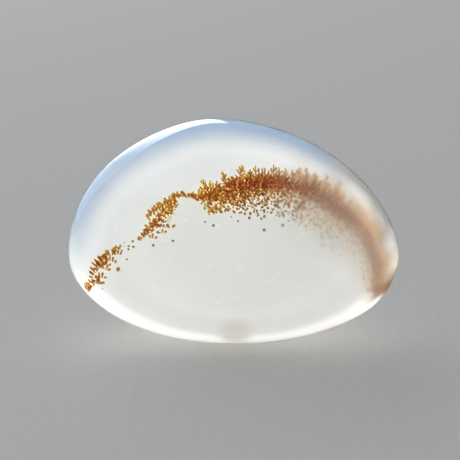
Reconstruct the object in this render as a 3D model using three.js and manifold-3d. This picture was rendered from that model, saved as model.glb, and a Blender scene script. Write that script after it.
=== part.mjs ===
// A polished dendritic agate pebble that stands on its long edge, on a small flat spot.
// Millimetres. X runs along the stone, Y through its thickness with the front face towards -Y, and Z is up.
// The origin is on the surface that the stone stands on, under the middle of its length and thickness.
import * as THREE from "three";
import { mergeVertices } from "three/addons/utils/BufferGeometryUtils.js";
import Module from "manifold-3d";

// The stone's reach: 30 mm long and 12 mm thick. The front dome stands a little fuller than the back.
const FRONT_BULGE = 6.2;
const BACK_BULGE = 5.8;
const GIRDLE_Y = (FRONT_BULGE - BACK_BULGE) / 2;

// The outline of the girdle, the line where front and back meet, as X and Z.
// It runs clockwise as the camera sees it: the left end, over the crest, the right end, along the base.
// The pair below the right end is the short straight stretch there, with a blunt corner at each end.
const GIRDLE = [
  [-15.0, 8.8],
  [-14.1, 12.6],
  [-11.2, 16.5],
  [-6.6, 19.4],
  [-1.8, 20.6],
  [4.0, 19.6],
  [9.0, 17.1],
  [13.0, 13.2],
  [15.0, 8.6],
  [14.5, 5.75],
  [12.7, 3.2],
  [7.4, 0.75],
  [0.2, -0.2],
  [-7.0, 0.7],
  [-12.1, 3.2],
  [-14.6, 6.2],
];

// Each radius from the crown to the girdle follows rise = bulge * sqrt(1 - share ** FULLNESS), so a higher
// FULLNESS gives a flatter face and a rounder edge.
const CROWN = { x: 0.3, z: 9.8 };
const FULLNESS = 2.7;

// Towards the crown each level line eases from the girdle's outline into this oval, given by its half axes.
const OVAL = { x: 14.6, z: 10.4 };

// The stone is thicker near its base: its bulge falls by this share from the crown's height to the crest.
const TAPER = 0.1;
const CREST_Z = 20.6;

// A slow unevenness of the hand-ground faces, as a share of the bulge, with this many waves round the stone.
const WAVE = 0.012;
const WAVES_ROUND = 3;

const STEPS_ROUND = 84;
const STEPS_ACROSS = 38;

// The flat spot lies on Z = 0, where the grinding took the lowest part of the edge away.
const GROUND_BLOCK = { length: 40, width: 20, height: 4 };

const STONE_COLOUR = 0xdfe3e2;
const STONE_ROUGHNESS = 0.08;

const wasm = await Module();
wasm.setup();

function girdleCurve() {
  const points = GIRDLE.map(([x, z]) => new THREE.Vector3(x, GIRDLE_Y, z));
  return new THREE.CatmullRomCurve3(points, true, "centripetal");
}

// A unit sphere whose poles are the two crowns: its u runs round the girdle, its v from front crown to back.
function pebbleGeometry() {
  const girdle = girdleCurve();
  const sphere = new THREE.SphereGeometry(1, STEPS_ROUND, STEPS_ACROSS);
  const { position, uv } = sphere.attributes;
  for (let i = 0; i < position.count; i++) {
    const round = (uv.getX(i) + 1) % 1;
    const across = (1 - uv.getY(i)) * Math.PI;
    const rim = girdle.getPointAt(round);
    const out = { x: rim.x - CROWN.x, z: rim.z - CROWN.z };
    const share = Math.abs(Math.sin(across)) ** (2 / FULLNESS);
    const oval = 1 / Math.hypot(out.x / OVAL.x, out.z / OVAL.z);
    const reach = share * (oval + (1 - oval) * share ** 2);
    const x = CROWN.x + out.x * reach;
    const z = CROWN.z + out.z * reach;
    const side = Math.cos(across);
    const bulge = side > 0 ? BACK_BULGE : FRONT_BULGE;
    const taper = 1 - (TAPER * (z - CROWN.z)) / (CREST_Z - CROWN.z);
    const wave = 1 + WAVE * share * Math.cos(2 * Math.PI * WAVES_ROUND * round);
    position.setXYZ(i, x, GIRDLE_Y + bulge * side * taper * wave, z);
  }
  return sphere;
}

function toSolid(geometry) {
  const bare = geometry.clone();
  bare.deleteAttribute("normal");
  bare.deleteAttribute("uv");
  const merged = mergeVertices(bare, 1e-4);
  const mesh = new wasm.Mesh({
    numProp: 3,
    vertProperties: merged.attributes.position.array,
    triVerts: new Uint32Array(merged.index.array),
  });
  return new wasm.Manifold(mesh);
}

function toGeometry(solid) {
  const { vertProperties, triVerts } = solid.getMesh();
  const geometry = new THREE.BufferGeometry();
  geometry.setAttribute("position", new THREE.BufferAttribute(vertProperties, 3));
  geometry.setIndex(new THREE.BufferAttribute(triVerts, 1));
  geometry.computeVertexNormals();
  return geometry;
}

// The pebble with the flat spot ground into its lower edge.
function groundStone() {
  const { length, width, height } = GROUND_BLOCK;
  const block = new THREE.BoxGeometry(length, width, height);
  block.translate(0, 0, -height / 2);
  return toGeometry(toSolid(pebbleGeometry()).subtract(toSolid(block)));
}

const stone = new THREE.Mesh(
  groundStone(),
  new THREE.MeshStandardMaterial({ color: STONE_COLOUR, roughness: STONE_ROUGHNESS, metalness: 0 }),
);
stone.name = "agate_stone";

const specimen = new THREE.Group();
specimen.add(stone);

export default specimen;
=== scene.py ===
"""A polished dendritic agate pebble on its long edge: milky, see-through, with an arc of brown dendrites.

Metres, in the part's own frame: X along the stone, Y from the front face to the back, Z up from the flat.
Lengths named with _MM are millimetres and are scaled once, where a mesh or a light is made.
"""
import math

import bpy
import numpy as np
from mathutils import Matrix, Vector


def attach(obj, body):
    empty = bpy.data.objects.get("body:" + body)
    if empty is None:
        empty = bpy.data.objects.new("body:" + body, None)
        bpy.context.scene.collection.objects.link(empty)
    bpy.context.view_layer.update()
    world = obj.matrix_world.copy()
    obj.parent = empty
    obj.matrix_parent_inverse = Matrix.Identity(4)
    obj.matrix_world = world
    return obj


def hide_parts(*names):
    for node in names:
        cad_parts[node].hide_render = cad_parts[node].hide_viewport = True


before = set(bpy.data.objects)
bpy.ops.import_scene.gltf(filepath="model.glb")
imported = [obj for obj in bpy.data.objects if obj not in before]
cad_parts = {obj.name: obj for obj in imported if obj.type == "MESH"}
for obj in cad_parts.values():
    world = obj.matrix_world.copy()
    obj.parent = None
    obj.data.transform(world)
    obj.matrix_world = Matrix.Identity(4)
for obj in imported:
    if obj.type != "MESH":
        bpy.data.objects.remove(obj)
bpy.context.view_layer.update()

MM = 0.001

# The pebble's form, from the same driving values as the solid: the girdle, where front and back meet, as
# X and Z, the crown of both faces, the oval that the faces ease into, and how each face rises.
GIRDLE_MM = np.array([
    (-15.0, 8.8), (-14.1, 12.6), (-11.2, 16.5), (-6.6, 19.4), (-1.8, 20.6), (4.0, 19.6),
    (9.0, 17.1), (13.0, 13.2), (15.0, 8.6), (14.5, 5.75), (12.7, 3.2), (7.4, 0.75),
    (0.2, -0.2), (-7.0, 0.7), (-12.1, 3.2), (-14.6, 6.2),
])
STEPS_PER_GIRDLE_POINT = 64
CROWN_MM = np.array((0.3, 9.8))
OVAL_MM = np.array((14.6, 10.4))
FULLNESS = 2.7
FRONT_BULGE_MM = 6.2
BACK_BULGE_MM = 5.8
GIRDLE_Y_MM = (FRONT_BULGE_MM - BACK_BULGE_MM) / 2
TAPER = 0.1
CREST_Z_MM = 20.6
WAVE = 0.012
WAVES_ROUND = 3


def girdle_outline(count):
    """Points evenly spaced round a centripetal Catmull-Rom curve through GIRDLE_MM, and each one's share
    of the way round."""
    steps = np.arange(0, len(GIRDLE_MM), 1 / STEPS_PER_GIRDLE_POINT)
    first = steps.astype(int)
    part = (steps - first)[:, None]
    before, start, end, after = (GIRDLE_MM[(first + k) % len(GIRDLE_MM)] for k in (-1, 0, 1, 2))

    def root(a, b):
        return np.sqrt(np.linalg.norm(b - a, axis=1))[:, None]

    d0, d1, d2 = root(before, start), root(start, end), root(end, after)
    leave = ((start - before) / d0 - (end - before) / (d0 + d1) + (end - start) / d1) * d1
    arrive = ((end - start) / d1 - (after - start) / (d1 + d2) + (after - end) / d2) * d1
    curve = start + leave * part + (3 * (end - start) - 2 * leave - arrive) * part**2
    curve += (2 * (start - end) + leave + arrive) * part**3
    curve = np.vstack((curve, curve[:1]))
    way = np.concatenate(([0], np.cumsum(np.linalg.norm(np.diff(curve, axis=0), axis=1))))
    share = np.arange(count) / count
    return np.stack([np.interp(share, way / way[-1], curve[:, k]) for k in (0, 1)], axis=1), share


def inner_level(out_x, out_z):
    """How far the inner oval reaches in a direction, as a share of the girdle's reach there."""
    return 1 / np.hypot(out_x / OVAL_MM[0], out_z / OVAL_MM[1])


def pebble_points(round_steps, across_steps):
    """Rings from the back crown to the front crown, and the two crowns. In each direction from the crown
    the distance out is the girdle's, times share * (oval + (1 - oval) * share^2), and the rise off the
    girdle plane is bulge * sqrt(1 - share^FULLNESS), thinned towards the crest and waved a little round
    the rim."""
    rim, turn = girdle_outline(round_steps)
    across = np.linspace(0, math.pi, across_steps + 1)[1:-1, None]
    out = rim - CROWN_MM
    share = np.sin(across) ** (2 / FULLNESS)
    oval = inner_level(out[:, 0], out[:, 1])[None]
    reach = share * (oval + (1 - oval) * share**2)
    x = CROWN_MM[0] + out[None, :, 0] * reach
    z = CROWN_MM[1] + out[None, :, 1] * reach
    taper = 1 - TAPER * (z - CROWN_MM[1]) / (CREST_Z_MM - CROWN_MM[1])
    wave = 1 + WAVE * share * np.cos(2 * math.pi * WAVES_ROUND * turn)[None]
    bulge = np.where(np.cos(across) > 0, BACK_BULGE_MM, FRONT_BULGE_MM)
    y = GIRDLE_Y_MM + bulge * np.cos(across) * taper * wave
    rings = np.stack((x, y, np.maximum(z, 0)), axis=-1)
    back = (CROWN_MM[0], GIRDLE_Y_MM + BACK_BULGE_MM, CROWN_MM[1])
    front = (CROWN_MM[0], GIRDLE_Y_MM - FRONT_BULGE_MM, CROWN_MM[1])
    return rings, np.array(back), np.array(front)


# The girdle sorted by its angle round the crown, so that a point of a face can be placed against it.
RIM_STEPS = 3000
RIM_MM, RIM_TURN = girdle_outline(RIM_STEPS)
RIM_ANGLE = np.arctan2(*(RIM_MM - CROWN_MM).T[::-1])
RIM_ORDER = np.argsort(RIM_ANGLE)
RIM_ANGLE = RIM_ANGLE[RIM_ORDER]
RIM_REACH_MM = np.linalg.norm(RIM_MM - CROWN_MM, axis=1)[RIM_ORDER]
RIM_COS = np.cos(2 * math.pi * RIM_TURN)[RIM_ORDER]
RIM_SIN = np.sin(2 * math.pi * RIM_TURN)[RIM_ORDER]

NEWTON_ROUNDS = 10


def share_of_girdle(x, z):
    """Where a point of the face plane lies between the crown, 0, and the girdle, 1, and its turn round
    the stone. The share is found from the distance out by Newton's method."""
    angle = np.arctan2(z - CROWN_MM[1], x - CROWN_MM[0])
    rim = np.interp(angle, RIM_ANGLE, RIM_REACH_MM, period=2 * math.pi)
    cos, sin = (np.interp(angle, RIM_ANGLE, c, period=2 * math.pi) for c in (RIM_COS, RIM_SIN))
    reach = np.clip(np.hypot(x - CROWN_MM[0], z - CROWN_MM[1]) / rim, 0, 1)
    oval = inner_level(rim * np.cos(angle), rim * np.sin(angle))
    share = reach
    for _ in range(NEWTON_ROUNDS):
        miss = share * (oval + (1 - oval) * share**2) - reach
        share = np.clip(share - miss / (oval + 3 * (1 - oval) * share**2), 0, 1)
    return share, np.arctan2(sin, cos) / (2 * math.pi)


def front_face(x, z):
    """The Y of the front face over a point of the face plane."""
    share, turn = share_of_girdle(x, z)
    taper = 1 - TAPER * (z - CROWN_MM[1]) / (CREST_Z_MM - CROWN_MM[1])
    wave = 1 + WAVE * share * np.cos(2 * math.pi * WAVES_ROUND * turn)
    return GIRDLE_Y_MM - FRONT_BULGE_MM * np.sqrt(np.clip(1 - share**FULLNESS, 0, 1)) * taper * wave


# The camera, at the photograph's angle.

AIM_MM = np.array((-0.33, 0.0, 10.4))
CAMERA_TILT = math.radians(16)
CAMERA_AWAY_MM = 156.1
EYE_MM = AIM_MM + CAMERA_AWAY_MM * np.array((0, -math.cos(CAMERA_TILT), math.sin(CAMERA_TILT)))
SENSOR_MM = 36
LENS_MM = 135
NEAREST_SEEN_MM = 5
FURTHEST_SEEN_MM = 20000


def make_camera():
    """A long lens with nothing out of focus, at EYE_MM, looking along +Y and down by CAMERA_TILT."""
    lens = bpy.data.cameras.new("camera")
    lens.sensor_width = SENSOR_MM
    lens.lens = LENS_MM
    lens.clip_start = NEAREST_SEEN_MM * MM
    lens.clip_end = FURTHEST_SEEN_MM * MM
    camera = bpy.data.objects.new("camera", lens)
    camera.location = EYE_MM * MM
    camera.rotation_euler = (math.pi / 2 - CAMERA_TILT, 0, 0)
    bpy.context.scene.collection.objects.link(camera)
    bpy.context.scene.camera = camera


make_camera()

# Meshes.


def add_mesh(name, points_mm, faces, smooth=True):
    """A mesh object at the origin, from points in millimetres and faces that name them by number."""
    mesh = bpy.data.meshes.new(name)
    mesh.from_pydata((points_mm * MM).tolist(), [], faces)
    mesh.validate()
    mesh.update()
    mesh.polygons.foreach_set("use_smooth", np.full(len(mesh.polygons), smooth))
    piece = bpy.data.objects.new(name, mesh)
    bpy.context.scene.collection.objects.link(piece)
    return piece


def pebble_mesh(name, round_steps, across_steps):
    """The rings of pebble_points as one closed skin, with a fan of triangles at each crown. The attribute
    girdle_share tells how far towards the girdle each point lies, from 0 at the crowns to 1."""
    rings, back, front = pebble_points(round_steps, across_steps)
    rows = len(rings)
    points = np.vstack((rings.reshape(-1, 3), back, front))
    here = np.arange(round_steps)
    beside = (here + 1) % round_steps
    row = (np.arange(rows - 1) * round_steps)[:, None]
    next_row = row + round_steps
    quads = np.stack((row + beside, row + here, next_row + here, next_row + beside), axis=-1)
    last = (rows - 1) * round_steps
    back_tip = np.full(round_steps, rows * round_steps)
    back_fan = np.stack((here, beside, back_tip), axis=-1)
    front_fan = np.stack((last + beside, last + here, back_tip + 1), axis=-1)
    faces = quads.reshape(-1, 4).tolist() + back_fan.tolist() + front_fan.tolist()
    piece = add_mesh(name, points, faces)
    across = np.linspace(0, math.pi, across_steps + 1)[1:-1]
    share = np.repeat(np.sin(across) ** (2 / FULLNESS), round_steps)
    rim = piece.data.attributes.new("girdle_share", "FLOAT", "POINT")
    rim.data.foreach_set("value", np.append(share, (0, 0)).astype(np.float32))
    return piece


# A twig's section, a heading that no twig takes, from which its sides are squared off, and how far the
# point at each end stands out, as a share of the radius there.
TWIG_SIDES = 6
SIDE_GUIDE = np.array((0.13, -1.0, 0.07))
TIP_SHARE = 0.7
TINY = 1e-9


def twig_mesh(name, paths, radii, colours):
    """Closed tapered twigs. Each is a ring of TWIG_SIDES points carried along its path at the given
    radii, with a point at each end. paths is twigs x steps x 3, and each twig's colour is kept as an
    attribute."""
    count, steps, _ = paths.shape
    ahead = np.gradient(paths, axis=1)
    ahead /= np.linalg.norm(ahead, axis=-1, keepdims=True) + TINY
    side = np.cross(ahead, SIDE_GUIDE)
    side /= np.linalg.norm(side, axis=-1, keepdims=True) + TINY
    lift = np.cross(side, ahead)
    turn = np.arange(TWIG_SIDES) * 2 * math.pi / TWIG_SIDES
    cos, sin = np.cos(turn)[None, None, :, None], np.sin(turn)[None, None, :, None]
    ring = side[:, :, None] * cos + lift[:, :, None] * sin
    rings = paths[:, :, None] + ring * radii[:, :, None, None]
    first = paths[:, :1] - ahead[:, :1] * radii[:, :1, None] * TIP_SHARE
    last = paths[:, -1:] + ahead[:, -1:] * radii[:, -1:, None] * TIP_SHARE
    points = np.concatenate((rings.reshape(count, -1, 3), first, last), axis=1)
    each = points.shape[1]
    here = np.arange(TWIG_SIDES)
    beside = (here + 1) % TWIG_SIDES
    row = (np.arange(steps - 1) * TWIG_SIDES)[:, None]
    next_row = row + TWIG_SIDES
    quads = np.stack((row + beside, row + here, next_row + here, next_row + beside), axis=-1)
    quads = quads.reshape(-1, 4)
    end = (steps - 1) * TWIG_SIDES
    start_fan = np.stack((here, beside, np.full(TWIG_SIDES, each - 2)), axis=-1)
    end_fan = np.stack((end + beside, end + here, np.full(TWIG_SIDES, each - 1)), axis=-1)
    fans = np.vstack((start_fan, end_fan))
    shift = (np.arange(count) * each)[:, None, None]
    faces = (quads[None] + shift).reshape(-1, 4).tolist() + (fans[None] + shift).reshape(-1, 3).tolist()
    piece = add_mesh(name, points.reshape(-1, 3), faces)
    tint = piece.data.attributes.new("growth_colour", "FLOAT_COLOR", "POINT")
    rgba = np.concatenate((colours, np.ones((count, 1))), axis=1)
    tint.data.foreach_set("color", np.repeat(rgba, each, axis=0).astype(np.float32).ravel())
    return piece


# The dendrites.

# The vein that they grew from, from the left end over to the right. Each row is a station: X and Z on the
# front face, the depth inside the stone, the length of the fingers on the outer side, the reach of the
# crumbs on the inner side, and half the width of the dense core.
VEIN_MM = np.array([
    (-13.3, 6.2, 0.1, 0.0, 0.0, 0.0),
    (-12.3, 7.8, 0.1, 0.0, 0.0, 0.0),
    (-11.5, 9.0, 0.1, 0.0, 0.0, 0.0),
    (-10.4, 9.9, 0.1, 0.0, 0.0, 0.0),
    (-9.3, 10.4, 0.1, 0.0, 0.0, 0.0),
    (-8.2, 11.0, 0.1, 0.0, 0.0, 0.0),
    (-7.4, 12.0, 0.1, 0.2, 0.3, 0.0),
    (-6.7, 12.9, 0.1, 0.3, 0.7, 0.18),
    (-6.0, 13.6, 0.1, 0.3, 0.5, 0.22),
    (-5.3, 14.2, 0.1, 0.3, 0.3, 0.15),
    (-4.5, 14.9, 0.1, 0.0, 0.0, 0.0),
    (-3.6, 15.0, 0.1, 0.0, 0.0, 0.0),
    (-2.7, 14.9, 0.1, 0.4, 0.7, 0.0),
    (-1.6, 15.05, 0.1, 0.5, 1.5, 0.25),
    (-0.7, 15.5, 0.1, 0.45, 2.1, 0.34),
    (0.5, 15.85, 0.12, 0.6, 2.2, 0.33),
    (2.0, 15.95, 0.18, 0.75, 2.2, 0.28),
    (3.3, 15.95, 0.42, 0.8, 2.2, 0.27),
    (4.5, 15.85, 0.82, 0.85, 2.3, 0.30),
    (5.8, 15.5, 1.28, 0.95, 2.4, 0.42),
    (7.0, 15.0, 1.65, 1.0, 2.4, 0.52),
    (8.1, 14.35, 1.9, 1.1, 2.4, 0.58),
    (9.35, 13.35, 2.2, 1.4, 2.3, 0.58),
    (10.55, 12.3, 2.4, 1.6, 2.2, 0.56),
    (11.65, 11.0, 2.4, 1.65, 2.1, 0.52),
    (12.25, 9.6, 2.4, 1.5, 1.8, 0.47),
    (12.75, 8.2, 2.3, 1.2, 1.5, 0.44),
    (12.75, 7.0, 2.1, 1.0, 1.1, 0.40),
    (12.5, 6.1, 1.9, 0.9, 0.8, 0.36),
    (12.25, 5.6, 1.8, 0.6, 0.5, 0.2),
])
X, Z, DEPTH, FINGER, CRUMB, CORE = range(6)
STEPS_PER_STATION = 40
SMOOTHING_ROUNDS = 500


def smooth_rows(rows):
    """Rows made finer, then smoothed by averaging neighbours, so that the line has no corners."""
    steps = np.linspace(0, len(rows) - 1, (len(rows) - 1) * STEPS_PER_STATION + 1)
    fine = np.stack([np.interp(steps, np.arange(len(rows)), column) for column in rows.T], axis=1)
    for _ in range(SMOOTHING_ROUNDS):
        fine[1:-1] = (fine[:-2] + 2 * fine[1:-1] + fine[2:]) / 4
    return fine, steps


VEIN_FINE, VEIN_ROW = smooth_rows(VEIN_MM)
VEIN_WAY = np.concatenate(([0], np.cumsum(np.linalg.norm(np.diff(VEIN_FINE[:, :2], axis=0), axis=1))))
VEIN_LENGTH = VEIN_WAY[-1]
VEIN_AHEAD = np.gradient(VEIN_FINE[:, :2], axis=0)
VEIN_AHEAD /= np.linalg.norm(VEIN_AHEAD, axis=1, keepdims=True)


def at_station(station):
    """How far along the vein a station lies, or each of several."""
    return VEIN_WAY[np.multiply(station, STEPS_PER_STATION)]


def along(way, column):
    """A column of VEIN_MM, smoothed, at a distance along the vein."""
    return np.interp(way, VEIN_WAY, VEIN_FINE[:, column])


def beside_vein(way, offset):
    """Points on the face plane at a distance along the vein and a distance out from it, with the heading
    outwards there."""
    ahead = np.stack([np.interp(way, VEIN_WAY, VEIN_AHEAD[:, k]) for k in (0, 1)], axis=-1)
    outer = np.stack((-ahead[:, 1], ahead[:, 0]), axis=-1)
    outer /= np.linalg.norm(outer, axis=1, keepdims=True)
    spot = np.stack((along(way, X), along(way, Z)), axis=-1) + outer * np.asarray(offset)[..., None]
    return spot, np.arctan2(outer[:, 1], outer[:, 0])


REFRACTIVE_INDEX = 1.54
SLOPE_STEP_MM = 0.03


def under_face(flat, depth):
    """Points seen at flat, X and Z on the front face, that lie depth inside, along the line from the eye
    bent into the stone by Snell's law at the polished face."""
    x, z = flat[..., 0], flat[..., 1]
    y = front_face(x, z)
    step = SLOPE_STEP_MM
    slope_x = (front_face(x + step, z) - front_face(x - step, z)) / (2 * step)
    slope_z = (front_face(x, z + step) - front_face(x, z - step)) / (2 * step)
    normal = np.stack((slope_x, -np.ones_like(slope_x), slope_z), axis=-1)
    normal /= np.linalg.norm(normal, axis=-1, keepdims=True)
    on_face = np.stack((x, y, z), axis=-1)
    sight = on_face - EYE_MM
    sight /= np.linalg.norm(sight, axis=-1, keepdims=True)
    facing = -(sight * normal).sum(axis=-1)
    bend = 1 / REFRACTIVE_INDEX
    inside = bend * sight + (bend * facing - np.sqrt(1 - bend**2 * (1 - facing**2)))[..., None] * normal
    return on_face + inside * np.asarray(depth)[..., None]


# What the twigs let through, as linear colours, and how the colours follow one another along the vein: on
# its outer side, in its core and on its inner side, as pairs of a station and the colour there.
GOLD = (0.95, 0.83, 0.39)
OCHRE = (0.94, 0.78, 0.38)
RUST = (0.95, 0.78, 0.33)
UMBER = (0.89, 0.63, 0.27)
BARK = (0.91, 0.79, 0.56)
SIENNA = (0.85, 0.65, 0.505)
MAUVE = (0.84, 0.665, 0.565)
TAN = (0.96, 0.865, 0.69)
OLIVE = (0.905, 0.85, 0.71)
OUTER_COLOURS = (
    (0, RUST), (6, OCHRE), (11, GOLD), (14, GOLD), (16, BARK), (20, BARK), (23, TAN), (28, TAN),
)
CORE_COLOURS = (
    (0, RUST), (6, OCHRE), (12, GOLD), (13.5, GOLD), (14.5, UMBER), (17, UMBER),
    (20, SIENNA), (22, SIENNA), (24, MAUVE), (26, MAUVE), (28, TAN),
)
INNER_COLOURS = (
    (0, RUST), (6, OCHRE), (12, GOLD), (14, OCHRE), (15, BARK), (19, BARK), (22, OLIVE), (28, OLIVE),
)


def growth_colour(draw, way, colours, spread=0.3):
    """The colours blended from one station to the next along the vein. Each twig is thinner or thicker by
    chance, so its colour is raised to the power e^chance, where chance follows a bell curve that wide."""
    stations, values = zip(*colours)
    row = np.interp(way, VEIN_WAY, VEIN_ROW)
    colour = np.stack([np.interp(row, stations, channel) for channel in zip(*values)], axis=-1)
    return colour ** np.exp(draw.normal(0, spread, len(way)))[:, None]


# A twig's thickness at each step, as a share of its radius: an even twig and a club-shaped lobe. Chance
# makes each step thinner or thicker within a range.
SWELL = np.array((0.8, 1.1, 1.0, 0.7))
CLUB = np.array((0.65, 0.9, 1.15, 0.95))
TWIG_STEPS = len(SWELL)
UNEVEN = (0.85, 1.15)


def grow(draw, start, heading, length, radius, bend=0.3, swell=SWELL, curl=0.0):
    """Paths on the face plane, and their radii. Each path starts at a point, heads one way and turns
    evenly on its way, by curl and a bend by chance. Its radius follows the swell."""
    curl = curl + draw.normal(0, bend, len(start))
    angle = heading[:, None] + curl[:, None] * np.linspace(0, 1, TWIG_STEPS)[None]
    step = length[:, None, None] / (TWIG_STEPS - 1) * np.stack((np.cos(angle), np.sin(angle)), axis=-1)
    path = start[:, None] + np.cumsum(step, axis=1) - step[:, :1]
    return path, radius[:, None] * swell[None] * draw.uniform(*UNEVEN, (len(start), TWIG_STEPS))


def scattered(draw, spacing, reach, jitter=0.4):
    """A grid over the vein's length and from 0 to reach beside it, as distances along and out. Every
    second row is shifted by half a spacing, and each point strays by up to jitter of a spacing."""
    ways = np.arange(spacing / 2, VEIN_LENGTH, spacing)
    way, out = np.meshgrid(ways, np.arange(0, reach, spacing), indexing="ij")
    way = way + spacing / 2 * (np.round(out / spacing) % 2)
    shake = draw.uniform(-jitter, jitter, (2, way.size)) * spacing
    return np.clip(way.ravel() + shake[0], 0, VEIN_LENGTH), out.ravel() + shake[1]


# The heart of a twig: its share of the twig's radius, and what it lets through.
HEART_SHARE = 0.5
HEART_SPREAD = 0.2
HEART_SEED = 60
HEART_COLOURS = (
    (0, (0.77, 0.57, 0.16)), (10, (0.90, 0.72, 0.30)), (14, (0.90, 0.70, 0.28)), (21, (0.90, 0.79, 0.60)),
)


def with_hearts(paths, radii, way, colours, heart_colours):
    """Each twig with a thinner one inside it, so that it is darkest along its middle."""
    hearts = growth_colour(np.random.default_rng(HEART_SEED), way, heart_colours, HEART_SPREAD)
    return joined([(paths, radii, colours), (paths, radii * HEART_SHARE, hearts)])


def joined(found):
    """Sets of paths, radii and the like, run together part by part."""
    return (np.concatenate(part) for part in zip(*found))


NEAREST_STRIDE = 4


def nearest_way(spot):
    """How far along the vein each point of the face plane lies, by the nearest of every fourth step."""
    gap = np.linalg.norm(spot[:, None] - VEIN_FINE[None, ::NEAREST_STRIDE, :2], axis=-1)
    return VEIN_WAY[::NEAREST_STRIDE][gap.argmin(axis=1)]


# Little bushes at the left: X and Z of the root, the heading and half the fan in degrees, the reach and
# the number of lobes.
BUSHES_MM = np.array([
    (-13.2, 5.9, 165, 45, 0.30, 4), (-12.9, 5.5, 155, 45, 0.28, 4), (-12.7, 5.9, 140, 45, 0.30, 4),
    (-12.8, 5.7, 165, 30, 0.60, 3), (-12.9, 6.2, 150, 25, 0.45, 2), (-12.5, 7.1, 165, 20, 0.60, 2),
    (-12.3, 6.4, 100, 60, 0.50, 4), (-12.0, 6.6, 60, 40, 0.45, 3), (-12.1, 6.8, 140, 35, 0.50, 3),
    (-11.8, 7.1, 95, 45, 0.50, 4), (-12.3, 7.5, 132, 22, 0.55, 3),
    (-12.0, 7.9, 135, 22, 0.55, 3), (-12.1, 8.1, 150, 25, 0.55, 3),
    (-11.7, 8.5, 138, 25, 0.75, 3), (-11.6, 8.3, 120, 40, 0.55, 4), (-11.4, 8.0, 80, 50, 0.45, 4),
    (-11.4, 8.9, 122, 28, 0.60, 4), (-11.2, 8.6, 140, 30, 0.50, 3), (-10.7, 8.8, 70, 40, 0.45, 3),
    (-11.1, 9.3, 145, 25, 0.45, 3), (-10.7, 9.4, 112, 40, 0.45, 3), (-11.2, 8.4, 90, 35, 0.40, 3),
    (-10.2, 9.5, 100, 40, 0.42, 3), (-10.3, 9.8, 125, 30, 0.42, 3), (-10.1, 10.1, 115, 28, 0.36, 2),
    (-8.0, 11.1, 130, 30, 0.45, 3), (-7.7, 11.4, 125, 28, 0.52, 3), (-7.4, 11.6, 118, 32, 0.48, 3),
    (-7.3, 12.0, 138, 25, 0.50, 3), (-6.8, 12.4, 145, 35, 0.45, 3),
    (-6.4, 12.2, 95, 40, 0.42, 3), (-6.2, 11.7, 95, 40, 0.42, 3), (-7.1, 11.2, 85, 40, 0.36, 3),
    (-5.5, 12.2, 100, 35, 0.40, 2), (-4.2, 14.9, 95, 60, 0.55, 5), (-3.8, 14.8, 95, 45, 0.45, 4),
    (-3.2, 14.8, 108, 40, 0.60, 4), (-2.8, 14.7, 120, 35, 0.55, 4), (-2.3, 14.7, 105, 40, 0.55, 4),
    (-1.9, 14.5, 95, 45, 0.50, 4), (-1.5, 14.6, 85, 45, 0.55, 4), (-2.0, 13.9, 300, 35, 0.45, 3),
    (-1.6, 13.9, 285, 35, 0.45, 3), (-2.4, 14.2, 310, 30, 0.42, 3), (-1.2, 14.1, 290, 35, 0.42, 3),
])

# The lobes of a bush: how far apart their roots are for each lobe that it has, how their headings stray,
# their radius, how long the middle one is and how much shorter the outermost are, as shares of the reach,
# and how that varies. A nub is a small lobe on the side of another.
LOBE_GAP_MM = 0.065
LOBE_STRAY = 0.2
LOBE_RADIUS_MM = (0.095, 0.13)
MIDDLE_LOBE = 1.1
LOBE_FALL = 0.3
LOBE_VARIES = (0.6, 1.1)
NUB_CHANCE = 0.3
NUB_TURN = 0.9
NUB_LENGTH = 0.3
NUB_RADIUS = 0.8


def bushes(draw):
    """Fans of club-shaped lobes, spread evenly to both sides of a heading, with nubs on some lobes."""
    count = BUSHES_MM[:, 5].astype(int)
    bush = np.repeat(np.arange(len(count)), count)
    place = np.arange(len(bush)) - np.repeat(np.cumsum(count) - count, count)
    spread = 2 * place / (count[bush] - 1) - 1
    x, z, heading, fan, reach, _ = BUSHES_MM[bush].T
    across = np.stack((-np.sin(np.radians(heading)), np.cos(np.radians(heading))), axis=-1)
    heading = np.radians(heading + spread * fan) + draw.normal(0, LOBE_STRAY, len(bush))
    start = np.stack((x, z), axis=-1) + LOBE_GAP_MM * count[bush, None] * spread[:, None] * across
    length = reach * (MIDDLE_LOBE - LOBE_FALL * spread**2) * draw.uniform(*LOBE_VARIES, len(bush))
    radius = draw.uniform(*LOBE_RADIUS_MM, len(bush))
    way = nearest_way(start)
    lobes, radii = grow(draw, start, heading, length, radius, bend=0.25, swell=CLUB)
    nub = draw.uniform(0, 1, len(bush)) < NUB_CHANCE
    turn = heading + np.where(draw.uniform(0, 1, len(bush)) < 0.5, NUB_TURN, -NUB_TURN)
    nubs = grow(draw, lobes[nub, 2], turn[nub], length[nub] * NUB_LENGTH, radius[nub] * NUB_RADIUS)
    paths, radii, way = joined([(lobes, radii, way), (*nubs, way[nub])])
    return paths, radii, way, growth_colour(draw, way, OUTER_COLOURS)


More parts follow.
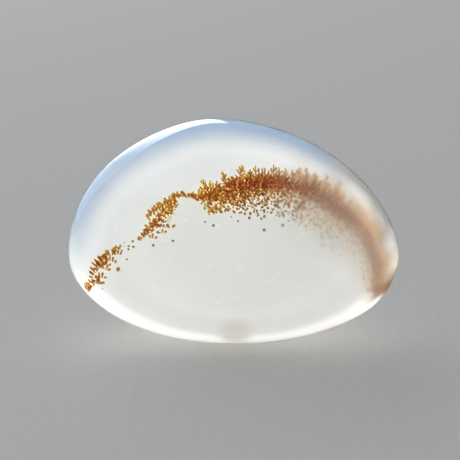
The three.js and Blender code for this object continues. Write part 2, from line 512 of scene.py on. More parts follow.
# Single stems on the outer side: X and Z of the root and of the tip, and the pairs of side twigs.
STEMS_MM = np.array([
    (-7.3, 12.7, -7.6, 13.2, 0), (-7.2, 13.1, -7.5, 13.6, 1), (-6.9, 13.2, -7.1, 13.8, 0),
    (-6.7, 13.5, -7.0, 14.0, 1), (-6.4, 13.6, -6.7, 14.2, 0), (-6.1, 13.8, -6.5, 14.3, 1),
    (-5.9, 13.9, -6.1, 14.4, 0), (-5.7, 14.1, -6.0, 14.7, 1), (-5.4, 14.2, -5.7, 14.8, 1),
    (-5.1, 14.5, -5.3, 15.1, 2), (-4.8, 14.7, -5.0, 15.2, 1), (-2.4, 14.9, -2.7, 16.3, 3),
    (-2.1, 14.9, -2.4, 15.9, 2), (-1.9, 14.9, -2.1, 16.2, 3), (-1.6, 15.0, -1.5, 16.2, 3),
    (-1.3, 15.1, -1.1, 16.0, 2), (-0.6, 15.7, -0.8, 17.0, 4), (-0.2, 16.0, -0.2, 16.6, 1),
    (0.1, 16.0, 0.0, 16.5, 1), (0.5, 16.1, 0.5, 17.5, 5), (1.1, 16.2, 1.0, 16.8, 1),
    (1.5, 16.2, 1.4, 17.1, 3), (1.9, 16.2, 1.9, 17.4, 2), (2.2, 16.3, 2.1, 17.2, 1),
    (2.5, 16.3, 2.4, 17.2, 1), (2.7, 16.3, 2.7, 17.2, 1), (3.0, 16.3, 3.0, 17.0, 1),
    (3.5, 16.1, 3.4, 17.4, 4), (4.0, 16.1, 4.0, 17.2, 2), (4.5, 16.0, 4.6, 17.1, 3),
    (5.1, 15.9, 5.1, 16.9, 2), (5.6, 15.8, 5.7, 17.1, 4), (6.3, 15.6, 6.4, 17.0, 3),
    (7.0, 15.4, 7.1, 16.6, 3), (7.9, 15.0, 8.1, 16.3, 3), (9.0, 14.5, 9.2, 16.0, 3),
])

# The radius of a stem by the X of its root, as pairs of the two. Then its side twigs: how far up the
# first pair is and how far the pairs reach, as shares of the stem, how a place strays, the turn off the
# stem and how that strays, the length at the very tip and what the stem above adds, how the length
# varies, and the twig's radius and curl back along the stem.
STEM_RADII_MM = ((-5, 0.115), (-2, 0.075), (4, 0.08), (7, 0.125))
STEM_VARIES = (0.9, 1.1)
FIRST_PAIR = 0.22
PAIRS_REACH = 0.66
PAIR_STRAY = 0.04
PAIR_TURN = 1.0
PAIR_TURN_STRAY = 0.12
TIP_PAIR_MM = 0.16
PAIR_GROWTH = 0.36
PAIR_VARIES = (0.8, 1.2)
PAIR_RADIUS = 0.85
PAIR_CURL = 0.4


def stems(draw):
    """Stems with pairs of side twigs up their sides, each pair shorter than the one below it."""
    root, rise = STEMS_MM[:, :2], STEMS_MM[:, 2:4] - STEMS_MM[:, :2]
    height, heading = np.hypot(*rise.T), np.arctan2(rise[:, 1], rise[:, 0])
    way = nearest_way(root)
    radius = np.interp(root[:, 0], *zip(*STEM_RADII_MM)) * draw.uniform(*STEM_VARIES, len(way))
    stem, radii = grow(draw, root, heading, height, radius, bend=0.15, swell=CLUB)
    found = [(stem, radii, way)]
    pairs = STEMS_MM[:, 4].astype(int)
    for pair in range(pairs.max()):
        has = pairs > pair
        count = has.sum()
        share = FIRST_PAIR + PAIRS_REACH * pair / pairs[has]
        for side in (-1, 1):
            up = share + draw.normal(0, PAIR_STRAY, count)
            place = root[has] + (stem[has, -1] - root[has]) * up[:, None]
            turn = heading[has] + side * draw.normal(PAIR_TURN, PAIR_TURN_STRAY, count)
            length = TIP_PAIR_MM + PAIR_GROWTH * height[has] * (1 - share)
            length = length * draw.uniform(*PAIR_VARIES, count)
            twig_radius = radius[has] * PAIR_RADIUS
            curl = -PAIR_CURL * side
            twigs = grow(draw, place, turn, length, twig_radius, bend=0.2, swell=CLUB, curl=curl)
            found.append((*twigs, way[has]))
    paths, radii, way = joined(found)
    return paths, radii, way, growth_colour(draw, way, OUTER_COLOURS)


# Where fingers, crumbs and strewn grains are rooted, as a share of the core's half width.
ROOT_SHARE = 0.5

# The fingers: the stations where they begin, stand closer and get a second row, the gaps before and after
# the middle one, how a finger strays from its place, how far the second row lies beside the first, the
# least length worth a finger, the lean and its stray, and the radius. Then the stations between which the
# shortest grow longer, as a share of the full length there, and all grow thicker.
FINGER_STATIONS = (6, 13, 19)
FINGER_GAPS_MM = (0.34, 0.25)
FINGER_STRAY_MM = 0.08
SECOND_ROW_MM = 0.12
LEAST_FINGER_MM = 0.15
FINGER_LEAN = -0.1
FINGER_LEAN_STRAY = 0.25
FINGER_RADIUS_MM = (0.06, 0.085)
FINGER_CHANGE = (18, 22)
SHORTEST_FINGER = (0.4, 0.55)
FINGER_THICKENS = (1, 1.6)

# The two side twigs of a finger: how far up it each is and its turn off it. Then the chance of one, the
# shortest finger that has any, how the turn strays, the length, and the share of the finger's radius.
FINGER_TWIGS = ((0.45, 0.8), (0.65, -0.8))
FINGER_TWIG_CHANCE = 0.6
TWIGLESS_MM = 0.3
FINGER_TWIG_STRAY = 0.2
FINGER_TWIG_MM = (0.1, 0.24)
FINGER_TWIG_RADIUS = 0.8


def fingers(draw):
    """Short fingers side by side on the outer side, between the stems, in two rows at the right."""
    first, middle, doubled = at_station(FINGER_STATIONS)
    left_gap, right_gap = FINGER_GAPS_MM
    way = np.concatenate((np.arange(first, middle, left_gap), np.arange(middle, VEIN_LENGTH, right_gap)))
    way = np.clip(way + draw.normal(0, FINGER_STRAY_MM, len(way)), 0, VEIN_LENGTH)
    way = np.concatenate((way, way[way > doubled] - SECOND_ROW_MM))
    way = way[along(way, FINGER) > LEAST_FINGER_MM]
    start, heading = beside_vein(way, along(way, CORE) * ROOT_SHARE)
    heading = heading + draw.normal(FINGER_LEAN, FINGER_LEAN_STRAY, len(way))
    least = np.interp(way, at_station(FINGER_CHANGE), SHORTEST_FINGER)
    height = along(way, FINGER) * draw.uniform(least, 1.0)
    radius = draw.uniform(*FINGER_RADIUS_MM, len(way))
    radius = radius * np.interp(way, at_station(FINGER_CHANGE), FINGER_THICKENS)
    stem, radii = grow(draw, start, heading, height, radius, bend=0.2, swell=CLUB)
    found = [(stem, radii, way)]
    for share, swing in FINGER_TWIGS:
        has = (draw.uniform(0, 1, len(way)) < FINGER_TWIG_CHANCE) & (height > TWIGLESS_MM)
        place = stem[:, 0] * (1 - share) + stem[:, -1] * share
        turn = (heading + swing + draw.normal(0, FINGER_TWIG_STRAY, len(way)))[has]
        length = draw.uniform(*FINGER_TWIG_MM, len(way))[has]
        found.append((*grow(draw, place[has], turn, length, radius[has] * FINGER_TWIG_RADIUS), way[has]))
    paths, radii, way = joined(found)
    return paths, radii, way, growth_colour(draw, way, OUTER_COLOURS)


# The core's grains: their spacing, the widest core that they can fill, the least half width worth a
# grain, the stations between which they crowd more to the middle line and how strongly before and after,
# how their headings stray, and their sizes. Grains and crumbs are curly, by a wide bend.
CORE_SPACING_MM = 0.125
WIDEST_CORE_MM = 2.0
LEAST_CORE_MM = 0.08
CORE_CHANGE = (14, 18)
CORE_PINCH = (0.1, 0.45)
CORE_STRAY = 0.9
CORE_RADIUS_MM = (0.06, 0.09)
CORE_LENGTH_MM = (0.15, 0.35)
CURLY = 0.8


def core(draw):
    """Grains packed along the vein, across the width of its core. A grain at side, from -1 at one edge of
    the core to 1 at the other, is moved to side * |side|^pinch, closer to the middle where the vein lies
    deep."""
    way, out = scattered(draw, CORE_SPACING_MM, WIDEST_CORE_MM)
    kept = (out < 2 * along(way, CORE)) & (along(way, CORE) > LEAST_CORE_MM)
    way, out = way[kept], out[kept]
    side = out / along(way, CORE) - 1
    pinch = np.interp(way, at_station(CORE_CHANGE), CORE_PINCH)
    start, heading = beside_vein(way, along(way, CORE) * side * np.abs(side) ** pinch)
    heading = heading + draw.normal(0, CORE_STRAY, len(way))
    radius = draw.uniform(*CORE_RADIUS_MM, len(way))
    paths, radii = grow(draw, start, heading, draw.uniform(*CORE_LENGTH_MM, len(way)), radius, bend=CURLY)
    return paths, radii, way, growth_colour(draw, way, CORE_COLOURS)


# The crumbs: their spacing, how far from the vein the grid for them goes, the least reach worth a crumb,
# the chance of one next to the vein, and how it falls off, as pairs of the share of the reach and the
# share of that chance. Then how their headings stray, their sizes, how much thicker and shorter the
# outermost are, the stations between which they swell, and how much fewer, thicker and shorter they are
# from there on.
CRUMB_SPACING_MM = 0.155
CRUMB_GRID_MM = 2.7
LEAST_CRUMB_REACH_MM = 0.2
CRUMB_CHANCE = 0.95
CRUMBS_THIN_OUT = ((0, 1), (0.45, 0.75), (0.75, 0.25), (1.1, 0))
CRUMB_STRAY = 0.7
CRUMB_RADIUS_MM = (0.065, 0.095)
CRUMB_LENGTH_MM = (0.1, 0.28)
OUTER_HALF = (0.5, 1)
OUTER_THICKER = (1, 1.15)
OUTER_SHORTER = (1, 0.35)
CRUMB_CHANGE = (16, 19)
SWOLLEN_FEWER = 0.5
SWOLLEN_THICKER = 1.1
SWOLLEN_SHORTER = 0.6
CRUMB_COLOUR_SPREAD = 0.4
NOT_ZERO_MM = 0.01


def crumbs(draw):
    """Short lobes on the inner side that point away from the vein, each curled by chance, fewer and
    rounder the further they lie from it."""
    way, out = scattered(draw, CRUMB_SPACING_MM, CRUMB_GRID_MM)
    share = out / np.maximum(along(way, CRUMB), NOT_ZERO_MM)
    swollen = np.interp(way, at_station(CRUMB_CHANGE), (0, 1))
    likely = (CRUMB_CHANCE - SWOLLEN_FEWER * swollen) * np.interp(share, *zip(*CRUMBS_THIN_OUT))
    kept = draw.uniform(0, 1, len(way)) < likely
    kept &= along(way, CRUMB) > LEAST_CRUMB_REACH_MM
    way, out, share, swollen = way[kept], out[kept], share[kept], swollen[kept]
    start, heading = beside_vein(way, -out - along(way, CORE) * ROOT_SHARE)
    heading = heading + math.pi + draw.normal(0, CRUMB_STRAY, len(way))
    radius = draw.uniform(*CRUMB_RADIUS_MM, len(way)) * np.interp(share, OUTER_HALF, OUTER_THICKER)
    radius = radius * (1 + SWOLLEN_THICKER * swollen)
    length = draw.uniform(*CRUMB_LENGTH_MM, len(way)) * np.interp(share, OUTER_HALF, OUTER_SHORTER)
    length = length * (1 - SWOLLEN_SHORTER * swollen)
    paths, radii = grow(draw, start, heading, length, radius, bend=CURLY, swell=CLUB)
    return paths, radii, way, growth_colour(draw, way, INNER_COLOURS, CRUMB_COLOUR_SPREAD)


# Grains that stand alone: X and Z on the front face, and the radius. Others are strewn between them:
# their spacing, the middle and half the width of the belt that they lie in, as shares of the crumbs'
# reach, the least reach worth one, the chance of one, and the radius. Then the length and thickness of a
# grain for its radius.
LONE_GRAINS_MM = np.array([
    (-10.3, 8.2, 0.24), (-9.4, 9.1, 0.12), (-10.4, 8.7, 0.06), (-11.7, 6.0, 0.08), (-9.9, 9.9, 0.12),
    (-9.2, 10.4, 0.12), (-9.2, 10.1, 0.12), (-8.8, 10.8, 0.15), (-8.8, 10.4, 0.14), (-9.6, 10.3, 0.06),
    (-9.6, 10.6, 0.06), (-5.8, 12.4, 0.10), (-7.1, 10.6, 0.15), (-5.3, 11.1, 0.13), (-6.0, 12.2, 0.07),
    (-1.8, 12.5, 0.15), (-2.5, 12.8, 0.11), (-2.1, 13.4, 0.09), (-1.1, 13.7, 0.18), (-0.5, 13.7, 0.17),
    (0.0, 13.6, 0.13), (0.6, 14.2, 0.15), (1.0, 14.3, 0.13), (1.1, 13.9, 0.15), (0.7, 13.6, 0.13),
    (1.0, 13.5, 0.14), (1.3, 13.1, 0.16), (-0.2, 13.2, 0.07), (0.4, 12.8, 0.11), (2.0, 13.8, 0.12),
    (2.1, 13.5, 0.11), (2.5, 14.0, 0.14), (2.6, 13.7, 0.15), (3.0, 13.9, 0.11), (3.2, 13.6, 0.15),
    (2.7, 13.2, 0.14), (2.4, 13.0, 0.13), (4.0, 13.2, 0.11), (4.2, 12.5, 0.19), (2.6, 12.0, 0.19),
    (6.3, 12.4, 0.20), (7.3, 12.3, 0.20), (8.3, 11.7, 0.27), (7.8, 11.3, 0.25), (7.7, 10.7, 0.32),
    (3.9, 14.4, 0.22), (3.7, 14.1, 0.18), (4.1, 14.8, 0.18), (5.6, 14.1, 0.26), (6.0, 14.3, 0.22),
])

STREWN_SPACING_MM = 0.3
BELT_MIDDLE = 0.85
BELT_HALF = 0.3
LEAST_STREWN_REACH_MM = 1.2
STREWN_CHANCE = 0.3
STREWN_RADIUS_MM = (0.07, 0.12)
GRAIN_LENGTH = 0.9
GRAIN_THICKNESS = 0.95
ANY_HEADING = 6.28

# What the grains let through, as pairs of a station and the colour there.
GRAIN_COLOURS = (
    (0, (0.84, 0.68, 0.28)), (7, (0.79, 0.67, 0.38)), (13, (0.80, 0.66, 0.38)), (16, (0.80, 0.69, 0.47)),
    (19, (0.79, 0.75, 0.60)), (28, (0.82, 0.80, 0.70)),
)
GRAIN_COLOUR_SPREAD = 0.15


def lone_grains(draw):
    """The grains of LONE_GRAINS_MM, and others strewn by chance where the crumbs thin out."""
    way, out = scattered(draw, STREWN_SPACING_MM, CRUMB_GRID_MM)
    share = out / np.maximum(along(way, CRUMB), NOT_ZERO_MM)
    kept = (np.abs(share - BELT_MIDDLE) < BELT_HALF) & (along(way, CRUMB) > LEAST_STREWN_REACH_MM)
    kept &= draw.uniform(0, 1, len(way)) < STREWN_CHANCE
    strewn, _ = beside_vein(way[kept], -out[kept] - along(way[kept], CORE) * ROOT_SHARE)
    spot = np.vstack((LONE_GRAINS_MM[:, :2], strewn))
    radius = np.concatenate((LONE_GRAINS_MM[:, 2], draw.uniform(*STREWN_RADIUS_MM, kept.sum())))
    way = nearest_way(spot)
    heading = draw.uniform(0, ANY_HEADING, len(spot))
    paths, radii = grow(draw, spot, heading, radius * GRAIN_LENGTH, radius * GRAIN_THICKNESS, bend=0.2)
    return paths, radii, way, growth_colour(draw, way, GRAIN_COLOURS, GRAIN_COLOUR_SPREAD)


# Dust between the twigs, gold at the left and tan at the right: the two ends of each streak, how far its
# grains stray across it, how many there are, and the least and the greatest radius.
DUST_MM = (
    ((-5.8, 12.5), (-5.1, 14.3), 0.16, 60, 0.03, 0.065),
    ((-3.1, 14.7), (-1.9, 13.8), 0.18, 60, 0.03, 0.065),
    ((-1.4, 14.6), (0.6, 15.3), 0.30, 240, 0.06, 0.09),
    ((0.6, 15.3), (4.8, 15.4), 0.32, 380, 0.06, 0.09),
    ((-0.8, 16.0), (4.6, 16.25), 0.20, 380, 0.06, 0.09),
    ((0.2, 16.35), (4.4, 16.45), 0.10, 240, 0.06, 0.09),
)
DUST_COLOURS = ((0, GOLD), (14, GOLD), (17, TAN))
DUST_COLOUR_SPREAD = 0.2


def dust(draw):
    """Grains strewn evenly along each streak and by a bell curve across it."""
    found = []
    for first, last, stray, count, least, greatest in DUST_MM:
        spot = np.array(first) + draw.uniform(0, 1, (count, 1)) * np.subtract(last, first)
        found.append((spot + draw.normal(0, stray, (count, 2)), draw.uniform(least, greatest, count)))
    spot, radius = joined(found)
    way = nearest_way(spot)
    paths, radii = grow(draw, spot, draw.uniform(0, ANY_HEADING, len(spot)), radius, radius)
    return paths, radii, way, growth_colour(draw, way, DUST_COLOURS, DUST_COLOUR_SPREAD)


# How the depth varies, as a share of the vein's. How thick a skin of stone covers a twig at the least,
# and how much deeper that is along the line of sight, which slants into the face.
DEPTH_VARIES = (0.85, 1.3)
COVER_MM = 0.02
SLANT = 1.25


def sunk(draw, paths, radii, way):
    """Face-plane paths brought to the vein's depth there, each a little nearer or deeper by chance, but
    never so near that the twig would stand out of the face."""
    depth = along(way, DEPTH) * draw.uniform(*DEPTH_VARIES, len(way))
    least = SLANT * (radii.max(axis=1) + COVER_MM)
    return under_face(paths, np.maximum(depth, least)[:, None])


# Every kind of growth is a piece: its name, what makes it, and what the hearts of its twigs let through.
GROWTH = (
    ("bushes", bushes, HEART_COLOURS), ("stems", stems, HEART_COLOURS), ("fingers", fingers, None),
    ("core", core, None), ("crumbs", crumbs, HEART_COLOURS), ("grains", lone_grains, GRAIN_COLOURS),
    ("dust", dust, None),
)
FIRST_SEED = 20
growth_pieces = []
for number, (name, make, heart_colours) in enumerate(GROWTH):
    draw = np.random.default_rng(FIRST_SEED + number)
    paths, radii, way, colours = make(draw)
    paths = sunk(draw, paths, radii, way)
    if heart_colours:
        paths, radii, colours = with_hearts(paths, radii, way, colours, heart_colours)
    growth_pieces.append(twig_mesh(f"dendrite_{name}", paths, radii, colours))

# Materials.


def add_node(tree, kind, **values):
    """A node of a kind, with its named settings, or its input sockets, given their values."""
    node = tree.nodes.new(kind)
    for name, value in values.items():
        if hasattr(node, name):
            setattr(node, name, value)
        else:
            node.inputs[name.replace("_", " ")].default_value = value
    return node


def fade(tree, source, start, end, low=0.0, high=1.0):
    """A smooth step of a value, from low at start to high at end."""
    node = add_node(tree, "ShaderNodeMapRange", interpolation_type="SMOOTHSTEP")
    for name, value in (("From Min", start), ("From Max", end), ("To Min", low), ("To Max", high)):
        node.inputs[name].default_value = value
    tree.links.new(source, node.inputs["Value"])
    return node.outputs["Result"]


def times(tree, a, b):
    """The product of two values."""
    node = add_node(tree, "ShaderNodeMath", operation="MULTIPLY")
    tree.links.new(a, node.inputs[0])
    tree.links.new(b, node.inputs[1])
    return node.outputs[0]


# The places of a Mix node's colour sockets among its inputs and outputs.
MIX_BASE = 6
MIX_OTHER = 7
MIX_RESULT = 2


def blend(tree, share, base, colour):
    """The base colour moved towards another colour by a share that varies over the surface."""
    node = add_node(tree, "ShaderNodeMix", data_type="RGBA")
    tree.links.new(share, node.inputs["Factor"])
    if isinstance(base, tuple):
        node.inputs[MIX_BASE].default_value = base
    else:
        tree.links.new(base, node.inputs[MIX_BASE])
    node.inputs[MIX_OTHER].default_value = colour
    return node.outputs[MIX_RESULT]


def lean(tree, value, slope, place):
    """A value less slope times another one, such as a place on the surface."""
    node = add_node(tree, "ShaderNodeMath", operation="MULTIPLY_ADD")
    tree.links.new(place, node.inputs[0])
    node.inputs[1].default_value = -slope
    tree.links.new(value, node.inputs[2])
    return node.outputs[0]


# The stone's tints, as linear colours. The blue, the warm white and the dark grey of the right rim are
# painted light and shade, and the grey over the flat is partly painted shade.
CLEAR_GREY = (0.70, 0.715, 0.69, 1)
RING_GREY = (0.55, 0.58, 0.57, 1)
LOW_GREY = (0.57, 0.575, 0.565, 1)
# Painted light: the blue of light scattered in the thin upper and left rim.
PAINTED_RIM_BLUE = (0.09, 0.15, 0.25, 1)
# Painted light: a warm white glow along the lower rim.
PAINTED_GLOW_WHITE = (0.95, 0.94, 0.87, 1)
CREAM = (0.46, 0.41, 0.32, 1)
# Painted shade: uneven dark grey along the right rim.
RIM_SHADE_GREY = (0.12, 0.115, 0.115, 1)
IRON_STAIN = (0.10, 0.028, 0.006, 1)
# Partly the flat's own matt grey, partly painted contact shade where the stone rests.
FOOT_GREY_AND_SHADE = (0.48, 0.44, 0.38, 1)

# Where each tint begins and where it is full, by the share of the way to the girdle and by X and Z in
# metres. The low grey and the painted warm glow begin further out, the higher they lie, by LOW_LEAN a
# metre.
# The painted blue begins further out at the right. The X of the painted shade on the right rim is lessened
# by its slant times Y.
RING_SHARE = (0.55, 0.88)
RING_X = (0.004, -0.003)
LOW_LEAN = 18
LOW_SHARE = (0.46, 0.66)
LOW_Z = (0.0085, 0.0055)
BLUE_SHARE = (0.81, 0.98)
BLUE_Z = (0.005, 0.013)
BLUE_X = (0.0125, 0.008)
BLUE_THINS_X = (0, 0.005)
BLUE_THINS_BY = 0.01
GLOW_WHITE_SHARE = (0.705, 0.82)
GLOW_WHITE_Z = (0.0075, 0.0045)
RIM_SHADE_SLANT = 0.25
RIM_SHADE_SHARE = (0.88, 0.985)
RIM_SHADE_X = (0.0062, 0.0108)
RIM_SHADE_Z = (0.0062, 0.0090)
CREAM_SHARE = (0.80, 0.94)
CREAM_X = (0.0125, 0.0135)
CREAM_TOP_Z = (0.0097, 0.0078)
CREAM_FOOT_Z = (0.0045, 0.006)
STAIN_SHARE = (0.78, 0.98)
STAIN_X = (0.0112, 0.0132)
STAIN_TOP_Z = (0.0078, 0.0058)
STAIN_FOOT_Z = (0.0036, 0.0054)
FOOT_PLACE = (0.00015, 0, 0.0021)
FOOT_REACH = (0.0023, 1, 0.0022)
FOOT_EDGE = (1.0, 0.2)

# A slow drift that makes the tints at the right uneven: the size of its noise, the part of the noise that
# counts, and how far it moves a tint by the share and by X and Z in metres.
DRIFT_SCALE = 250
DRIFT_NOISE = (0.25, 0.75)
DRIFT_SHARE = 0.035
DRIFT_X = 0.0004
DRIFT_Z = 0.0006


def rim_tints_group():
    """The stone's tints: clear grey-white in the middle, grey towards the left and lower rim, a painted
    blue of scattered light inside the upper and left rim, a painted warm white glow along the lower rim,
    uneven painted shade on the right rim with a cream spot and a brown stain below it, and grey over the
    flat, partly painted contact shade."""
    tree = bpy.data.node_groups.new("rim_tints", "ShaderNodeTree")
    tree.interface.new_socket("Girdle Share", in_out="INPUT", socket_type="NodeSocketFloat")
    tree.interface.new_socket("Position", in_out="INPUT", socket_type="NodeSocketVector")
    tree.interface.new_socket("Colour", in_out="OUTPUT", socket_type="NodeSocketColor")
    given = tree.nodes.new("NodeGroupInput")
    put = tree.nodes.new("NodeGroupOutput")
    split = tree.nodes.new("ShaderNodeSeparateXYZ")
    tree.links.new(given.outputs["Position"], split.inputs[0])
    x, z = split.outputs["X"], split.outputs["Z"]
    share = given.outputs["Girdle Share"]
    ring = times(tree, fade(tree, share, *RING_SHARE), fade(tree, x, *RING_X))
    low_share = lean(tree, share, LOW_LEAN, z)
    low = times(tree, fade(tree, low_share, *LOW_SHARE), fade(tree, z, *LOW_Z))
    # Painted light: the blue inside the upper and left rim, thinning out towards the right.
    thinned = fade(tree, x, *BLUE_THINS_X, 0, BLUE_THINS_BY)
    blue = fade(tree, lean(tree, share, 1, thinned), *BLUE_SHARE)
    blue = times(tree, blue, times(tree, fade(tree, z, *BLUE_Z), fade(tree, x, *BLUE_X)))
    # Painted light: a warm white glow along the lower rim, as if light shone through the stone there.
    warm = times(tree, fade(tree, low_share, *GLOW_WHITE_SHARE), fade(tree, z, *GLOW_WHITE_Z))
    drift = add_node(tree, "ShaderNodeTexNoise", Scale=DRIFT_SCALE, Detail=1)
    tree.links.new(given.outputs["Position"], drift.inputs["Vector"])
    uneven = fade(tree, drift.outputs["Fac"], *DRIFT_NOISE, -1, 1)
    share = lean(tree, share, DRIFT_SHARE, uneven)
    x = lean(tree, x, DRIFT_X, uneven)
    z = lean(tree, z, DRIFT_Z, uneven)
    # Painted shade: uneven dark grey along the right rim.
    slanted = lean(tree, x, RIM_SHADE_SLANT, split.outputs["Y"])
    rim_shade = times(tree, fade(tree, share, *RIM_SHADE_SHARE), fade(tree, slanted, *RIM_SHADE_X))
    rim_shade = times(tree, rim_shade, fade(tree, z, *RIM_SHADE_Z))
    cream = times(tree, fade(tree, share, *CREAM_SHARE), fade(tree, x, *CREAM_X))
    cream = times(tree, cream, times(tree, fade(tree, z, *CREAM_TOP_Z), fade(tree, z, *CREAM_FOOT_Z)))
    stain = times(tree, fade(tree, share, *STAIN_SHARE), fade(tree, x, *STAIN_X))
    stain = times(tree, stain, times(tree, fade(tree, z, *STAIN_TOP_Z), fade(tree, z, *STAIN_FOOT_Z)))
    # The grey over the flat: partly its own matt grey, partly painted contact shade where the stone rests.
    foot = add_node(tree, "ShaderNodeMapping", vector_type="TEXTURE")
    foot.inputs["Location"].default_value = FOOT_PLACE
    foot.inputs["Scale"].default_value = FOOT_REACH
    tree.links.new(given.outputs["Position"], foot.inputs["Vector"])
    away = add_node(tree, "ShaderNodeVectorMath", operation="LENGTH")
    tree.links.new(foot.outputs[0], away.inputs[0])
    ground = fade(tree, away.outputs["Value"], *FOOT_EDGE)
    colour = blend(tree, ring, CLEAR_GREY, RING_GREY)
    colour = blend(tree, low, colour, LOW_GREY)
    colour = blend(tree, blue, colour, PAINTED_RIM_BLUE)
    colour = blend(tree, warm, colour, PAINTED_GLOW_WHITE)
    colour = blend(tree, rim_shade, colour, RIM_SHADE_GREY)
    colour = blend(tree, cream, colour, CREAM)
    colour = blend(tree, stain, colour, IRON_STAIN)
    colour = blend(tree, ground, colour, FOOT_GREY_AND_SHADE)
    tree.links.new(colour, put.inputs["Colour"])
    return tree


# The flecks, tiny pits in the polish whose brightness is a painted glint: how many cells go into a metre
# along
# X, Y and Z, where a cell's core begins and is full, as a distance from its middle, and how much brighter
# it is.
FLECK_CELLS = (500, 1700, 1700)
FLECK_EDGE = (0.13, 0.08)
FLECK_GLINT = 1.15


def glinting_flecks(tree, position, colour):
    """A colour with tiny pale dashes in the polish, brightened as painted glints: the cores of small cells
    drawn out along the stone."""
    stretch = add_node(tree, "ShaderNodeMapping")
    stretch.inputs["Scale"].default_value = FLECK_CELLS
    cells = add_node(tree, "ShaderNodeTexVoronoi")
    cells.inputs["Scale"].default_value = 1
    tree.links.new(position, stretch.inputs["Vector"])
    tree.links.new(stretch.outputs[0], cells.inputs["Vector"])
    lit = add_node(tree, "ShaderNodeVectorMath", operation="SCALE")
    tree.links.new(colour, lit.inputs[0])
    light = fade(tree, cells.outputs["Distance"], *FLECK_EDGE, 1, FLECK_GLINT)
    tree.links.new(light, lit.inputs["Scale"])
    return lit.outputs[0]


# The polish, how much of the skin lets light through, and the milk inside: its colour, how often light
# meets it in a metre, and how far forwards it throws the light.
POLISH_ROUGHNESS = 0.03
CLARITY = 0.97
MILK_COLOUR = (0.99, 0.985, 0.975, 1)
MILK_DENSITY = 1000
MILK_FORWARDS = 0.8


def agate_material():
    """Clear glass tinted on its skin, with painted light and shade at its rims and painted glints in its
    polish, and filled with milk. Light on its way from a lamp passes the skin unbent, so that it reaches
    the milk and the dendrites."""
    mat = bpy.data.materials.new("milky_agate")
    mat.use_nodes = True
    tree = mat.node_tree
    nodes, links = tree.nodes, tree.links
    shader = nodes["Principled BSDF"]
    tints = add_node(tree, "ShaderNodeGroup", node_tree=rim_tints_group())
    place = nodes.new("ShaderNodeTexCoord")
    share = add_node(tree, "ShaderNodeAttribute", attribute_name="girdle_share")
    links.new(place.outputs["Object"], tints.inputs["Position"])
    links.new(share.outputs["Fac"], tints.inputs["Girdle Share"])
    links.new(glinting_flecks(tree, place.outputs["Object"], tints.outputs["Colour"]), shader.inputs["Base Color"])
    shader.inputs["Roughness"].default_value = POLISH_ROUGHNESS
    shader.inputs["IOR"].default_value = REFRACTIVE_INDEX
    shader.inputs["Transmission Weight"].default_value = CLARITY
    clear = nodes.new("ShaderNodeBsdfTransparent")
    rays = nodes.new("ShaderNodeLightPath")
    mix = nodes.new("ShaderNodeMixShader")
    links.new(rays.outputs["Is Shadow Ray"], mix.inputs["Fac"])
    links.new(shader.outputs[0], mix.inputs[1])
    links.new(clear.outputs[0], mix.inputs[2])
    links.new(mix.outputs[0], nodes["Material Output"].inputs["Surface"])
    milk = nodes.new("ShaderNodeVolumeScatter")
    milk.inputs["Color"].default_value = MILK_COLOUR
    milk.inputs["Density"].default_value = MILK_DENSITY
    milk.inputs["Anisotropy"].default_value = MILK_FORWARDS
    links.new(milk.outputs[0], nodes["Material Output"].inputs["Volume"])
    return mat


# The matt grain of the dendrites: the size of its noise, the part of the noise that counts, how it shades
# and roughens, and how it stands up, in metres. Then how much of the light the film filters.
MATT_SCALE = 9000
MATT_NOISE = (0.3, 0.7)
MATT_SHADE = (0.5, 0.8)
MATT_ROUGHNESS = (0.75, 0.95)
MATT_BUMP = 0.4
MATT_HEIGHT = 0.00002
FILTERED = 0.96


def dendrite_material():
    """A film of iron that mostly filters the light, so that twigs which overlap grow darker and redder,
    with a matt grain a tenth of a millimetre across."""
    mat = bpy.data.materials.new("dendrite")
    mat.use_nodes = True
    tree = mat.node_tree
    shader = tree.nodes["Principled BSDF"]
    growth = add_node(tree, "ShaderNodeAttribute", attribute_name="growth_colour")
    place = tree.nodes.new("ShaderNodeTexCoord")
    grain = add_node(tree, "ShaderNodeTexNoise", Scale=MATT_SCALE, Detail=2)
    tree.links.new(place.outputs["Object"], grain.inputs["Vector"])
    shade = add_node(tree, "ShaderNodeVectorMath", operation="SCALE")
    tree.links.new(growth.outputs["Color"], shade.inputs[0])
    tree.links.new(fade(tree, grain.outputs["Fac"], *MATT_NOISE, *MATT_SHADE), shade.inputs["Scale"])
    tree.links.new(shade.outputs[0], shader.inputs["Base Color"])
    rough = fade(tree, grain.outputs["Fac"], *MATT_NOISE, *MATT_ROUGHNESS)
    tree.links.new(rough, shader.inputs["Roughness"])
    bump = add_node(tree, "ShaderNodeBump", Strength=MATT_BUMP, Distance=MATT_HEIGHT)
    tree.links.new(grain.outputs["Fac"], bump.inputs["Height"])
    tree.links.new(bump.outputs[0], shader.inputs["Normal"])
    film = tree.nodes.new("ShaderNodeBsdfTransparent")
    tree.links.new(growth.outputs["Color"], film.inputs["Color"])
    mix = tree.nodes.new("ShaderNodeMixShader")
    mix.inputs["Fac"].default_value = FILTERED
    tree.links.new(shader.outputs[0], mix.inputs[1])
    tree.links.new(film.outputs[0], mix.inputs[2])
    tree.links.new(mix.outputs[0], tree.nodes["Material Output"].inputs["Surface"])
    return mat


# The floor's card: the two greys of its mottle, its roughness, how fine the mottle is, and the part of the
# noise that counts.
CARD_DARK = (0.60, 0.60, 0.60, 1)
CARD_PALE = (0.64, 0.64, 0.64, 1)
CARD_ROUGHNESS = 0.9
MOTTLE_SCALE = 1500
MOTTLE_NOISE = (0.2, 0.8)


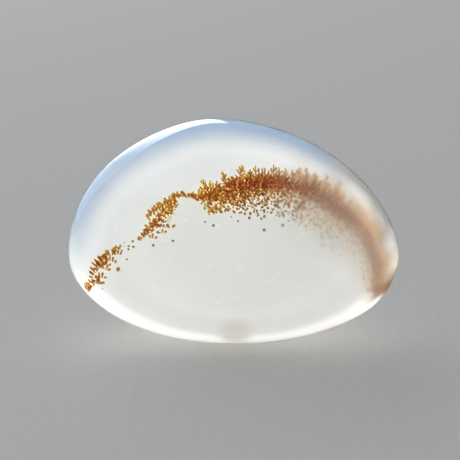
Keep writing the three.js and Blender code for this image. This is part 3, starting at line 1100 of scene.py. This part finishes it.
def floor_material():
    """Plain pale card with a faint fine mottle."""
    mat = bpy.data.materials.new("pale_floor")
    mat.use_nodes = True
    tree = mat.node_tree
    shader = tree.nodes["Principled BSDF"]
    place = tree.nodes.new("ShaderNodeTexCoord")
    mottle = add_node(tree, "ShaderNodeTexNoise", Scale=MOTTLE_SCALE, Detail=4)
    tree.links.new(place.outputs["Object"], mottle.inputs["Vector"])
    shade = fade(tree, mottle.outputs["Fac"], *MOTTLE_NOISE)
    tree.links.new(blend(tree, shade, CARD_DARK, CARD_PALE), shader.inputs["Base Color"])
    shader.inputs["Roughness"].default_value = CARD_ROUGHNESS
    return mat


STONE_STEPS_ROUND = 360
STONE_STEPS_ACROSS = 200
stone = pebble_mesh("agate_pebble", STONE_STEPS_ROUND, STONE_STEPS_ACROSS)
stone.data.materials.append(agate_material())
dendrite = dendrite_material()
for piece in growth_pieces:
    piece.data.materials.append(dendrite)
    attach(piece, "root")
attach(stone, "root")
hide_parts("agate_stone")

# Floor and light.

FLOOR_REACH_MM = 1500.0
FLOOR_Z_MM = -0.01


def make_floor():
    """A square of card under the stone, with its corners at FLOOR_REACH_MM to each side. The stone
    doesn't mirror it."""
    corners = np.array([(-1, -1, 0), (1, -1, 0), (1, 1, 0), (-1, 1, 0)]) * FLOOR_REACH_MM
    floor = add_mesh("floor", corners + (0, 0, FLOOR_Z_MM), [(0, 1, 2, 3)], smooth=False)
    floor.data.materials.append(floor_material())
    floor.visible_glossy = False


def soft_light(name, place_mm, aim_mm, size_mm, power, colour):
    """An even rectangle of light of a width and a height, turned from its place towards its aim."""
    lamp = bpy.data.lights.new(name, "AREA")
    lamp.shape = "RECTANGLE"
    lamp.size, lamp.size_y = (side * MM for side in size_mm)
    lamp.energy = power
    lamp.color = colour
    light = bpy.data.objects.new(name, lamp)
    bpy.context.scene.collection.objects.link(light)
    light.location = np.array(place_mm) * MM
    light.rotation_euler = (Vector(aim_mm) - Vector(place_mm)).to_track_quat("-Z", "Y").to_euler()
    return light


# How the gloss panel dims towards its lower left: how much its X counts beside its Y, where along that
# slant it is full and where it is dimmest, and the share of light left there.
DIM_SLANT = 0.5
DIM_EDGE = (-0.05, 0.34)
DIM_SHARE = 0.08


def dim_lower_left(lamp):
    """The lamp's light, full at its upper right as the stone sees it and falling to DIM_SHARE at its
    lower left, by the lamp's own Y less DIM_SLANT times its X."""
    lamp.use_nodes = True
    tree = lamp.node_tree
    place = tree.nodes.new("ShaderNodeNewGeometry")
    split = tree.nodes.new("ShaderNodeSeparateXYZ")
    tree.links.new(place.outputs["Parametric"], split.inputs[0])
    leftward = lean(tree, split.outputs["X"], DIM_SLANT, split.outputs["Y"])
    light = fade(tree, leftward, *DIM_EDGE, 1, DIM_SHARE)
    tree.links.new(light, tree.nodes["Emission"].inputs["Strength"])


# Each light's place and what it is aimed at, its width and height, its power in watts, and its colour.
MIDDLE_MM = (0, 0, 10)
SKY_WHITE = (0.95, 0.98, 1)
WARM_LIGHT = (1, 0.99, 0.96)
SOFTBOX = ((-240, 340, 195), MIDDLE_MM, (560, 424), 0.55, SKY_WHITE)
GLOSS_PANEL = ((-228, 323, 186), MIDDLE_MM, (532, 403), 3.2, SKY_WHITE)
GLOW_STRIP = ((0, 60, 5), (0, 0, 9), (60, 8), 0.05, WARM_LIGHT)


def make_lights():
    """A big softbox behind and to the left lights everything. Close before it hangs a panel of the same
    form that only the stone mirrors, as the bright strip along its upper left edge. A low strip behind
    the stone, which lights the stone alone, makes it glow from within."""
    specimen = bpy.data.collections.new("specimen")
    for piece in (stone, *growth_pieces):
        specimen.objects.link(piece)
    soft_light("back_left_softbox", *SOFTBOX)
    panel = soft_light("gloss_panel", *GLOSS_PANEL)
    dim_lower_left(panel.data)
    panel.visible_diffuse = False
    panel.visible_transmission = False
    panel.visible_volume_scatter = False
    strip = soft_light("glow_strip", *GLOW_STRIP)
    strip.visible_glossy = False
    for light in (panel, strip):
        light.visible_camera = False
        light.light_linking.receiver_collection = specimen


AIR_COLOUR = (0.98, 0.99, 1, 1)
AIR_LIGHT = 0.55


def studio_air():
    """A plain pale surround that lights evenly and isn't mirrored."""
    world = bpy.data.worlds.new("studio_air")
    bpy.context.scene.world = world
    world.use_nodes = True
    world.node_tree.nodes["Background"].inputs["Color"].default_value = AIR_COLOUR
    world.node_tree.nodes["Background"].inputs["Strength"].default_value = AIR_LIGHT
    world.cycles_visibility.glossy = False


make_floor()
make_lights()
studio_air()
bpy.context.scene.view_settings.view_transform = "Standard"

# Light bounces often in the milk, and passes many films where twigs overlap.
bpy.context.scene.cycles.max_bounces = 64
bpy.context.scene.cycles.transparent_max_bounces = 256
bpy.context.scene.cycles.transmission_bounces = 12
bpy.context.scene.cycles.volume_bounces = 48
